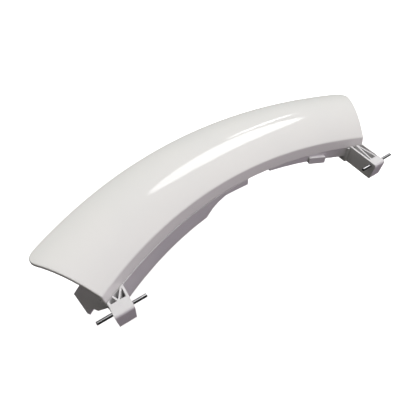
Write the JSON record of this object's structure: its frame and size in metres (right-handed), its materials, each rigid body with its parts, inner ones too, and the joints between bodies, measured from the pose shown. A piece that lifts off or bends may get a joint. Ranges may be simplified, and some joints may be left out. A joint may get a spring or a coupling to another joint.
{
  "type": "washing machine door handle",
  "caption": "Curved white grip for a front-loading washing machine's door: a domed cover snapped onto a channel-shaped carrier, with a hinge arm and a steel pin at each end.",
  "frame": {"origin": "on the hinge axis, half-way along the handle", "axes": "+X along the chord of the curved grip towards the long arm, +Y from the hinge axis towards the convex outer edge, +Z out of the door, so the glossy front faces up"},
  "size_m": [0.239, 0.0903, 0.0383],
  "materials": {
    "front_cover": "glossy white moulding",
    "rear_carrier": "plain white moulding with a soft sheen",
    "hinge_pin": "bright ground steel"
  },
  "bodies": {
    "hinge_pins": {"short_arm_pin": "hinge_pin", "long_arm_pin": "hinge_pin"},
    "handle": {"front_cover": "front_cover", "rear_carrier": "rear_carrier"}
  },
  "joints": [
    {"name": "handle_swing", "type": "hinge", "parent": "hinge_pins", "child": "handle", "pos_m": [0, 0, 0], "axis": [0.9986, -0.0523, 0], "range_deg": [0, 20]}
  ]
}
